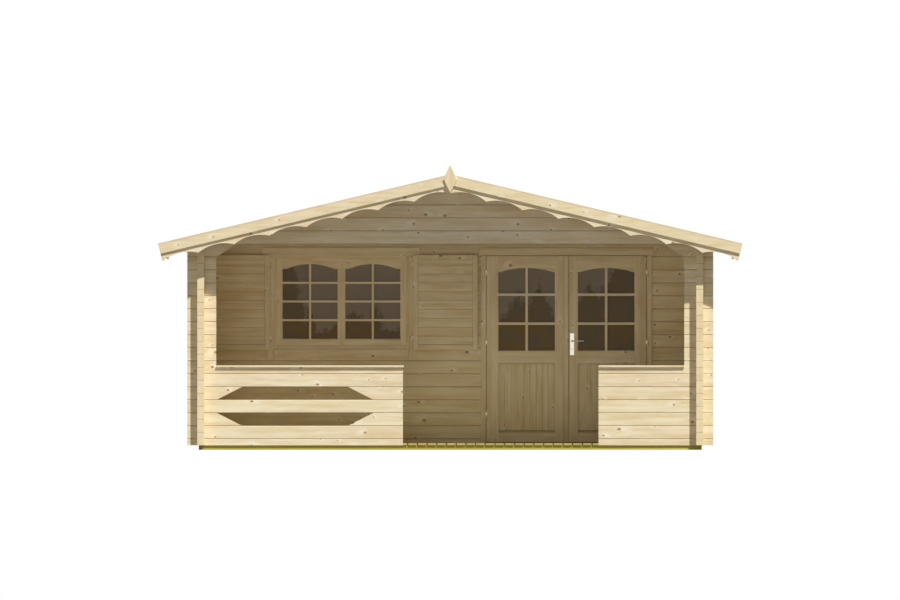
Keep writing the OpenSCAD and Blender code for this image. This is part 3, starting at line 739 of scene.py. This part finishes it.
casing_low, casing_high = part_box("window_casing")
cx = levels("window_casing", X)
cz = levels("window_casing", Z)
y0, y1 = casing_low.y, casing_high.y
window_casing = join([
    board((cx[1], y0, cz[0]), (cx[2], y1, cz[3]), board_z, CASING_EASE),
    board((cx[3], y0, cz[0]), (cx[4], y1, cz[3]), board_z, CASING_EASE),
    board((cx[2], y0, cz[1]), (cx[3], y1, cz[2]), board_x, CASING_EASE),
    board((cx[0], y0, cz[3]), (cx[5], y1, cz[4]), board_x, CASING_EASE),
])
stand_for(window_casing, "window_casing_boards", "root", "window_casing")

# %% Door casing
dx = levels("door_casing", X)
dz = levels("door_casing", Z)
door_casing = join([
    board((dx[1], y0, dz[0]), (dx[2], y1, dz[1]), board_z, CASING_EASE),
    board((dx[3], y0, dz[0]), (dx[4], y1, dz[1]), board_z, CASING_EASE),
    board((dx[0], y0, dz[1]), (dx[5], y1, dz[2]), board_x, CASING_EASE),
])
stand_for(door_casing, "door_casing_boards", "root", "door_casing")
dress(board_z, "door_frame")

# %% [markdown]
# ## Shutters
# A shutter is a frame of four boards around tongued boards that lie across it. Its joints
# could be lines in the finish, but a shutter is seen from near and throws its own shadows, so
# it is built of boards. They stand back from the frame on both faces, because either face
# shows: one when the shutter is open on the wall and the other when it is closed. Over the
# bottom rail they leave a groove, which a slim strip closes, set back from both faces.

# %% Both shutters
SHUTTER_BOARDS = 9
SHUTTER_TOP_STRIP = 0.051
TONGUE = 0.005
SHUTTER_EASE = 0.003


def shutter(node, name, body):
    """A shutter's frame and boards, made between the lines of its construction node."""
    x0, x1, x2, x3 = levels(node, X)
    y0, y1, y2, y3 = levels(node, Y)
    z0, z1, z2, z3 = levels(node, Z)
    step = (z2 - SHUTTER_TOP_STRIP - z1) / SHUTTER_BOARDS
    filling = board((x1, y1, z1), (x2, y2, z1 + step), shutter_wood, SHUTTER_EASE)
    repeat(filling, SHUTTER_BOARDS, (0, 0, step))
    cut(filling, (0, 0, z1 + TONGUE), (0, 0, -1))
    parts = [
        filling,
        board((x1, y1 + TONGUE, z1), (x2, y2 - TONGUE, z1 + 2 * TONGUE), shutter_wood, FINE_EASE),
        board((x1, y1, z2 - SHUTTER_TOP_STRIP), (x2, y2, z2), shutter_wood, SHUTTER_EASE),
        board((x0, y0, z0), (x1, y3, z3), board_z, SHUTTER_EASE),
        board((x2, y0, z0), (x3, y3, z3), board_z, SHUTTER_EASE),
        board((x1, y0, z0), (x2, y3, z1), board_x, SHUTTER_EASE),
        board((x1, y0, z2), (x2, y3, z3), board_x, SHUTTER_EASE),
    ]
    return stand_for(join(parts), name, body, node)


shutter_z = levels("shutter_left", Z)
shutter_step = (shutter_z[2] - SHUTTER_TOP_STRIP - shutter_z[1]) / SHUTTER_BOARDS
shutter_wood = spruce("spruce_shutter_boards", X, Z, shutter_step, shutter_z[1], knots=0.2, joint=0.5)
shutter("shutter_left", "shutter_left_boarded", "shutter_left_body")
shutter("shutter_right", "shutter_right_boarded", "shutter_right_body")

# %% [markdown]
# ## Sashes and door leaves
# The arched lights are the fine part of the front. An arch could be drawn again as an arc,
# but the construction already has it, so a copy of its solid is welded into one clean mesh
# and still fits the glass. The edge round each light then gets a broad bevel, which throws
# the thin light line around the glass, and the mesh is cut where upright and level members
# meet, so that each has its own grain.

# %% A welded copy to work on
WELD = 0.00002
FLAT = math.radians(0.5)


def welded(node):
    """A copy of a construction node with its corners merged and its flat faces whole."""
    piece = bpy.data.objects.new(node, nodes[node].data.copy())
    bpy.context.scene.collection.objects.link(piece)
    piece.data.materials.clear()
    edit(piece)
    bpy.ops.mesh.remove_doubles(threshold=WELD)
    bpy.ops.mesh.select_all(action="SELECT")
    bpy.ops.mesh.dissolve_limited(angle_limit=FLAT)
    leave()
    return piece


# %% The separate solids of a node
def solids(node):
    """The lowest and highest corners of each separate solid in a node, from left to right.

    The loose triangles hang together where their corners share a place.
    """
    mesh = nodes[node].data
    group = {}

    def root(key):
        while group.setdefault(key, key) != key:
            key = group[key]
        return key

    keys = [tuple(round(value, 5) for value in corner.co) for corner in mesh.vertices]
    for edge in mesh.edges:
        first, second = (root(keys[i]) for i in edge.vertices)
        group[first] = second
    found = {}
    for key in set(keys):
        found.setdefault(root(key), []).append(key)
    boxes = [(Vector(map(min, *points)), Vector(map(max, *points))) for points in found.values()]
    return sorted(boxes, key=lambda box: (round(box[0].x, 3), round(box[0].y, 3)))


# %% Bevel round a light, members apart
BEAD = 0.012
RIM = 0.002
MEMBER_EASE = 0.003


def bevel_light(piece, pane, face_y):
    """Bevels the edge where a light breaks through the face at face_y."""
    low, high = pane

    def on_rim(corner):
        inside = low.x - RIM < corner.x < high.x + RIM and low.z - RIM < corner.z < high.z + RIM
        return inside and abs(corner.y - face_y) < SAME

    found = pick(piece, "edges", on_rim)
    bpy.ops.mesh.bevel(offset=BEAD, segments=2, profile=0.6, affect="EDGES", clamp_overlap=False)
    leave()
    print("bead round a light,", found, "edges")


def split_members(piece, xs):
    """Cuts the piece at each x and gives upright members the upright grain, the rest the level one."""
    for x in xs:
        edit(piece)
        bpy.ops.mesh.bisect(plane_co=(x, 0, 0), plane_no=(1, 0, 0))
        leave()
    piece.data.materials.append(board_x)
    piece.data.materials.append(board_z)
    for face in piece.data.polygons:
        member = sum(face.center.x > x for x in xs)
        face.material_index = 1 - member % 2


# %% Glazing bars
BAR_LAP = 0.019
BAR_PROUD = 0.0015
BAR_STEP = 0.0006
BAR_EASE = 0.005


def glazing_bars(pane, width, front, back, rows):
    """A grid of slim bars between the depths front and back: one upright and one for each row.

    Its ends lie over the frame, a hair's breadth proud of it. The level bars stay BAR_STEP behind the
    upright one, because two faces in one plane would shade each other black.
    """
    low, high = pane
    front, back = front - BAR_PROUD, back + BAR_PROUD
    mid, half = (low.x + high.x) / 2, width / 2
    upright_low = (mid - half, front, low.z - BAR_LAP)
    upright_high = (mid + half, back, high.z + BAR_LAP)
    parts = [board(upright_low, upright_high, bar_z, BAR_EASE)]
    for row in rows:
        z = low.z + row * (high.z - low.z)
        level_low = (low.x - BAR_LAP, front + BAR_STEP, z - half)
        level_high = (high.x + BAR_LAP, back - BAR_STEP, z + half)
        parts.append(board(level_low, level_high, bar_x, BAR_EASE))
    return parts


bar_x = spruce("spruce_bars_level", X, Z, knots=0.03, streaks=0.2)
bar_z = spruce("spruce_bars_upright", Z, X, knots=0.03, streaks=0.2)

# %% The window's sashes
SASH_ROWS = (0.25, 0.5, 0.75)
SASH_BAR = 0.022
sash_low, sash_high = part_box("window_sashes")
panes = solids("window_glass")
sashes = welded("window_sashes")
for pane in panes:
    bevel_light(sashes, pane, sash_low.y)
    bevel_light(sashes, pane, sash_high.y)
split_members(sashes, [x for low, high in panes for x in (low.x, high.x)])
number(round_edges(sashes, MEMBER_EASE))
bars = []
for pane in panes:
    bars += glazing_bars(pane, SASH_BAR, sash_low.y, sash_high.y, SASH_ROWS)
stand_for(sashes, "window_sash_pair", "root", "window_sashes")
stand_for(join(bars), "window_bars", "root")

# %% [markdown]
# ## Door leaves
# Each leaf has two stiles, three rails, an arched light and a panel of upright tongued
# boards. The solid has a shallow recess on each face where the panel lies, and grooves could
# be cut into it. Real boards are as easy and have their own grain, so the two recesses become
# one opening and the boards go in. A sloping weather edge below them sheds the rain.

# %% Door leaf
DOOR_ROWS = (0.326, 0.678)
DOOR_BAR = 0.026
PANEL_BOARDS = 9
LIP_DEPTH, LIP_HOLD, LIP_CLEAR, LIP_EASE = 0.004, 0.003, 0.0015, 0.0005
DRIP_HIGH = 0.028
DRIP_DEEP = 0.018
NEAR_EDGE = 0.001
leaf_faces = (levels("door_leaf_right", Y)[0], levels("door_leaf_right", Y)[-1])
panel_low, panel_high = (corner.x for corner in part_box("door_glass_left"))
panel_step = (panel_high - panel_low) / PANEL_BOARDS
panel_wood = spruce("spruce_panel_boards", Z, X, panel_step, panel_low, knots=0.18, joint=0.5)


def open_panel(leaf, xs, zs):
    """Turns the two shallow recesses of a leaf into one opening.

    Their floors are deleted, and the rims that are left are bridged through the leaf.
    """
    middle_y = sum(leaf_faces) / 2

    def in_recess(corner):
        return (xs[0] - SAME < corner.x < xs[1] + SAME and zs[0] - SAME < corner.z < zs[1] + SAME
                and abs(corner.y - middle_y) < abs(leaf_faces[0] - middle_y) - NEAR_EDGE)

    pick(leaf, "polygons", in_recess)
    bpy.ops.mesh.delete(type="ONLY_FACE")
    leave()
    pick(leaf, "edges", in_recess)
    bpy.ops.mesh.bridge_edge_loops()
    leave()


def panel(xs, zs, recess):
    """Upright boards that fill the opening and end over a sloping weather edge on the bottom rail."""
    step = (xs[1] - xs[0]) / PANEL_BOARDS
    front, back = leaf_faces[0] + recess, leaf_faces[1] - recess
    foot = zs[0] + DRIP_HIGH
    boards = board((xs[0], front, foot), (xs[0] + step, back, zs[1]), panel_wood)
    repeat(boards, PANEL_BOARDS, (step, 0, 0))
    weather = board((xs[0], front, zs[0]), (xs[1], back, foot), board_x, FINE_EASE)
    upper_edge = 2 * FINE_EASE
    pick(weather, "edges", lambda corner: corner.z > foot - upper_edge and corner.y < front + upper_edge)
    bpy.ops.transform.translate(value=(0, DRIP_DEEP, 0))
    leave()
    return [boards, weather]


def rebate():
    """A slim lip on the left leaf that closes the gap behind the faces of the two leaves."""
    low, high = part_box("door_leaf_left")
    gap_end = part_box("door_leaf_right")[0].x
    lip_low = (high.x - LIP_HOLD, leaf_faces[0] + LIP_DEPTH, low.z + LIP_HOLD)
    lip_high = (gap_end - LIP_CLEAR, leaf_faces[0] + 2 * LIP_DEPTH, high.z - LIP_HOLD)
    return board(lip_low, lip_high, board_z, LIP_EASE)


def door_leaf(side, body):
    """A door leaf with its panel, and the glazing bars that lie over its glass."""
    node, pane = "door_leaf_" + side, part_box("door_glass_" + side)
    zs = levels(node, Z)[1:3]
    xs = [x for x in levels(node, X) if min(abs(x - corner.x) for corner in pane) < NEAR_EDGE]
    leaf = welded(node)
    open_panel(leaf, xs, zs)
    for face_y in leaf_faces:
        bevel_light(leaf, pane, face_y)
    split_members(leaf, xs)
    number(round_edges(leaf, MEMBER_EASE))
    recess = levels("door_leaf_right", Y)[1] - leaf_faces[0]
    parts = [leaf, *panel(xs, zs, recess)]
    if side == "left":
        parts.append(rebate())
    stand_for(join(parts), node + "_framed", body, node)
    stand_for(join(glazing_bars(pane, DOOR_BAR, *leaf_faces, DOOR_ROWS)), "door_bars_" + side, body)


door_leaf("left", "door_left")
door_leaf("right", "door_right")

# %% [markdown]
# ## Roof edges and handrails
# Bargeboards, valances and the finial close the front of the roof. Their outlines, with the
# scallops, could be drawn again, but they are exact in their solids, so copies of those get
# eased edges. A cover strip caps each bargeboard, a little darker than the board, partly by its
# warmer tone and partly by a painted shade along the roof's edge. It is split off the board's own
# mesh, so that the two stay flush. The handrails are two plain boards.

# %% Trim that keeps its outline
CAP = 0.017
CAPPED_EASE, VALANCE_EASE, REAR_EASE, FINIAL_CHAMFER = 0.002, 0.0015, 0.003, 0.006
# The cover strip's darkening is partly painted shade along the top of the bargeboard.
cap_wood = spruce("spruce_cover_strip", X, Z, knots=0.05, streaks=0.6, honey=0.2, painted_shade=0.13)
trim_wood = spruce("spruce_trim", X, Z, knots=0.4, streaks=0.9)


def trim(node, name, width, material=trim_wood):
    """A piece that keeps its construction node's outline and gets rounded edges."""
    piece = welded(node)
    piece.data.materials.append(material)
    stand_for(number(round_edges(piece, width)), name, "root", node)


def capped(node, name, side):
    """A bargeboard whose upper strip is a board of its own."""
    piece = welded(node)
    piece.data.materials.append(trim_wood)
    piece.data.materials.append(cap_wood)
    normal = Vector((side * math.sin(pitch), 0, math.cos(pitch)))
    top = Vector((0, 0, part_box("verge_laths")[1].z)) - normal * CAP
    edit(piece)
    bpy.ops.mesh.bisect(plane_co=top, plane_no=normal)
    leave()
    for face in piece.data.polygons:
        face.material_index = int((face.center - top).dot(normal) > 0)
    stand_for(number(round_edges(piece, CAPPED_EASE)), name, "root", node)


capped("bargeboard_left", "bargeboard_left_capped", -1)
capped("bargeboard_right", "bargeboard_right_capped", 1)
trim("valance_left", "valance_left_eased", VALANCE_EASE)
trim("valance_right", "valance_right_eased", VALANCE_EASE)
trim("finial", "finial_chamfered", FINIAL_CHAMFER, board_z)
trim("bargeboards_rear", "bargeboards_rear_eased", REAR_EASE)
dress(trim_wood, "verge_laths")

# %% Handrails
rails = [board(low, high, board_x) for low, high in solids("handrails")]
stand_for(join(rails), "handrail_boards", "root", "handrails")

# %% [markdown]
# ## Door handle
# A long plate with rounded corners carries a lever over a keyhole, the same inside and out.
# A lever could be a curve with a round profile. A cylinder is used instead, whose end face is
# spun through a quarter turn and drawn out, because that leaves one closed mesh of even faces.

# %% Plate, lever and keyhole
LEVER_RADIUS, LEVER_BEND, LEVER_EASE = 0.0055, 0.014, 0.003
ROSE_RADIUS, ROSE_DEPTH = 0.01, 0.002
LOCK_RADIUS, LOCK_DEPTH = 0.0085, 0.0015
KEYHOLE_RADIUS, KEYHOLE_DEPTH = 0.002, 0.0004
KEYHOLE_DROP = 0.072
PLATE_THICK, PLATE_CORNER, PLATE_EASE = 0.003, 0.004, 0.0004
PLATE_LEAST_WIDTH = 0.03
SMOOTH_BELOW = math.radians(35)
handle_low, handle_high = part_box("door_handle")
plate_x0 = handle_low.x
plate_x1 = [x for x in levels("door_handle", X) if x - plate_x0 > PLATE_LEAST_WIDTH][0]
lever_levels = levels("door_handle", Z)[1:-1]
lever_z = sum(lever_levels) / len(lever_levels)


def plate(face_y, out):
    """The long plate on the face at face_y, its corners rounded."""
    low = (plate_x0, min(face_y, face_y + out * PLATE_THICK), handle_low.z)
    high = (plate_x1, max(face_y, face_y + out * PLATE_THICK), handle_high.z)
    piece = board(low, high, bright_steel, PLATE_EASE)
    pick(piece, "edges", lambda corner: True, along=Y)
    bpy.ops.mesh.bevel(offset=PLATE_CORNER, segments=4, affect="EDGES")
    leave()
    return piece


def smooth(piece):
    """Shades round faces smooth and leaves the sharp edges sharp."""
    alone(piece)
    bpy.ops.object.shade_smooth_by_angle(angle=SMOOTH_BELOW)
    return piece


def disc(centre, radius, depth, out, material):
    """A flat round piece that stands on a face."""
    bpy.ops.object.select_all(action="DESELECT")
    middle = centre + Vector((0, out * depth / 2, 0))
    bpy.ops.mesh.primitive_cylinder_add(
        vertices=32, radius=radius, depth=depth, location=middle, rotation=(math.pi / 2, 0, 0)
    )
    piece = bpy.context.object
    settle(piece)
    piece.data.materials.append(material)
    return number(smooth(round_edges(piece, depth / 3)))


def lever(centre, out, reach, length):
    """A round bar that stands off the plate, bends square and runs on sideways."""
    bpy.ops.object.select_all(action="DESELECT")
    straight = reach - LEVER_BEND
    bpy.ops.mesh.primitive_cylinder_add(
        vertices=24, radius=LEVER_RADIUS, depth=straight,
        location=centre + Vector((0, out * straight / 2, 0)), rotation=(math.pi / 2, 0, 0)
    )
    piece = bpy.context.object
    settle(piece)
    end_y = centre.y + out * straight
    pick(piece, "polygons", lambda corner: abs(corner.y - end_y) < SAME)
    bend_centre = (centre.x + LEVER_BEND, end_y, centre.z)
    bpy.ops.mesh.spin(steps=8, angle=-out * math.pi / 2, center=bend_centre, axis=(0, 0, 1))
    run = length - LEVER_BEND
    bpy.ops.mesh.extrude_region_move(TRANSFORM_OT_translate={"value": (run, 0, 0)})
    bpy.ops.mesh.select_all(action="SELECT")
    bpy.ops.mesh.remove_doubles(threshold=WELD)
    bpy.ops.mesh.normals_make_consistent(inside=False)
    leave()
    piece.data.materials.append(bright_steel)
    return number(smooth(round_edges(piece, LEVER_EASE, angle=70.0, segments=3)))


def handle_side(face_y, out):
    """Plate, rose, lever and keyhole on the face at face_y, which looks to the side out."""
    spindle = Vector(((plate_x0 + plate_x1) / 2, face_y + out * PLATE_THICK, lever_z))
    lock = spindle - Vector((0, 0, KEYHOLE_DROP))
    keyhole = lock + Vector((0, out * LOCK_DEPTH, 0))
    stand_off = (handle_high.y - handle_low.y - leaf_faces[1] + leaf_faces[0]) / 2
    return [
        plate(face_y, out),
        disc(spindle, ROSE_RADIUS, ROSE_DEPTH, out, hinge_steel),
        disc(lock, LOCK_RADIUS, LOCK_DEPTH, out, bright_steel),
        disc(keyhole, KEYHOLE_RADIUS, KEYHOLE_DEPTH, out, keyhole_dark),
        lever(spindle, out, stand_off - PLATE_THICK - LEVER_RADIUS, handle_high.x - spindle.x),
    ]


keyhole_dark = metal("keyhole_shadow", colour(40, 36, 30), 0.6)
handle = join(handle_side(leaf_faces[0], -1) + handle_side(leaf_faces[1], 1))
stand_for(handle, "door_handle_set", "door_right", "door_handle", slot="handle_steel")


# %% [markdown]
# ## Floor, light and camera
# A pale floor holds the shadow. A sun from the upper right gives the crisp shadows of the
# handrails and log ends. The terrace lies in full shade, where a bright sky alone would leave
# no form, so the sky is faint and three weak lamps fill the recess: one from straight in
# front, and one each from above and below, whose shadows draw fine lines round shutters and
# casings. A wide lamp from behind serves the other views. The camera looks square on and
# without perspective, so that courses on the near and the far wall measure the same.

# %% Floor
FLOOR_SIZE = 60.0
FLOOR_SEEN = colour(232, 232, 230)
FLOOR_GREY = colour(104, 104, 104)


def stage_floor():
    """A wide floor, pale to the eye and grey to the light, so that it throws little light back up.

    It receives shadows but throws none, because the low lamp shines from under it.
    """
    finish = Finish("stage_floor", roughness=0.9)
    seen = finish.node("ShaderNodeLightPath", output="Is Camera Ray")
    for ray in ("Is Glossy Ray", "Is Transmission Ray"):
        seen = seen.math("MAXIMUM", seen, finish.node("ShaderNodeLightPath", output=ray))
    finish.feed(finish.surface.inputs["Base Color"], finish.mix(seen, FLOOR_GREY, FLOOR_SEEN))
    bpy.ops.object.select_all(action="DESELECT")
    bpy.ops.mesh.primitive_plane_add(size=FLOOR_SIZE, location=(0, 0, 0))
    floor = bpy.context.object
    floor.name = "stage_floor"
    floor.visible_shadow = False
    floor.data.materials.append(finish.material)
    print("floor", FLOOR_SIZE, "m wide")


stage_floor()

# %% Sky
SKY_FILL = 0.08


def sky():
    """A sky that is white to the eye and faint as a light."""
    world = bpy.data.worlds.new("sky")
    bpy.context.scene.world = world
    world.use_nodes = True
    tree = world.node_tree
    background = tree.nodes["Background"]
    path = tree.nodes.new("ShaderNodeLightPath")
    seen = path.outputs["Is Camera Ray"]
    for ray in ("Is Glossy Ray", "Is Transmission Ray"):
        either = tree.nodes.new("ShaderNodeMath")
        either.operation = "MAXIMUM"
        tree.links.new(seen, either.inputs[0])
        tree.links.new(path.outputs[ray], either.inputs[1])
        seen = either.outputs[0]
    strength = tree.nodes.new("ShaderNodeMapRange")
    strength.inputs["To Min"].default_value = SKY_FILL
    tree.links.new(seen, strength.inputs["Value"])
    tree.links.new(strength.outputs[0], background.inputs["Strength"])
    background.inputs["Color"].default_value = (1.0, 1.0, 1.0, 1.0)
    print("sky fills at", SKY_FILL)


sky()


# %% Lamps
def lamp(name, power, spread, travel, tint=(1.0, 1.0, 1.0)):
    """A distant lamp: spread is the angle in degrees that it fills, travel the way its light goes."""
    light = bpy.data.lights.new(name, "SUN")
    light.energy = power
    light.angle = math.radians(spread)
    light.color = tint
    source = bpy.data.objects.new(name, light)
    source.rotation_euler = Vector(travel).to_track_quat("-Z", "Y").to_euler()
    bpy.context.scene.collection.objects.link(source)
    print("lamp", name, "at", power)


lamp("sun", 4.12, 1.0, (-0.68, 1.0, -1.785))
lamp("front_fill", 0.15, 20.0, (0.02, 1.0, 0.03), (1.0, 0.98, 0.92))
lamp("high_fill", 0.09, 16.0, (0.2, 1.0, -0.4))
lamp("low_fill", 0.12, 16.0, (0.2, 1.0, 0.35))
lamp("rear_fill", 0.9, 120.0, (0.45, -0.8, -0.35))

# %% Camera
VIEW_WIDTH = 9.0
VIEW_CENTRE = Vector((-0.0025, 0.0, 1.498))
VIEW_DISTANCE = 20.0
camera = bpy.data.cameras.new("front")
camera.type = "ORTHO"
camera.ortho_scale = VIEW_WIDTH
camera.clip_end = 5 * VIEW_DISTANCE
viewer = bpy.data.objects.new("front", camera)
viewer.location = VIEW_CENTRE - Vector((0, VIEW_DISTANCE, 0))
viewer.rotation_euler = (math.pi / 2, 0, 0)
bpy.context.scene.collection.objects.link(viewer)
bpy.context.scene.camera = viewer
bpy.context.scene.view_settings.view_transform = "Standard"
print("camera sees", VIEW_WIDTH, "m across")
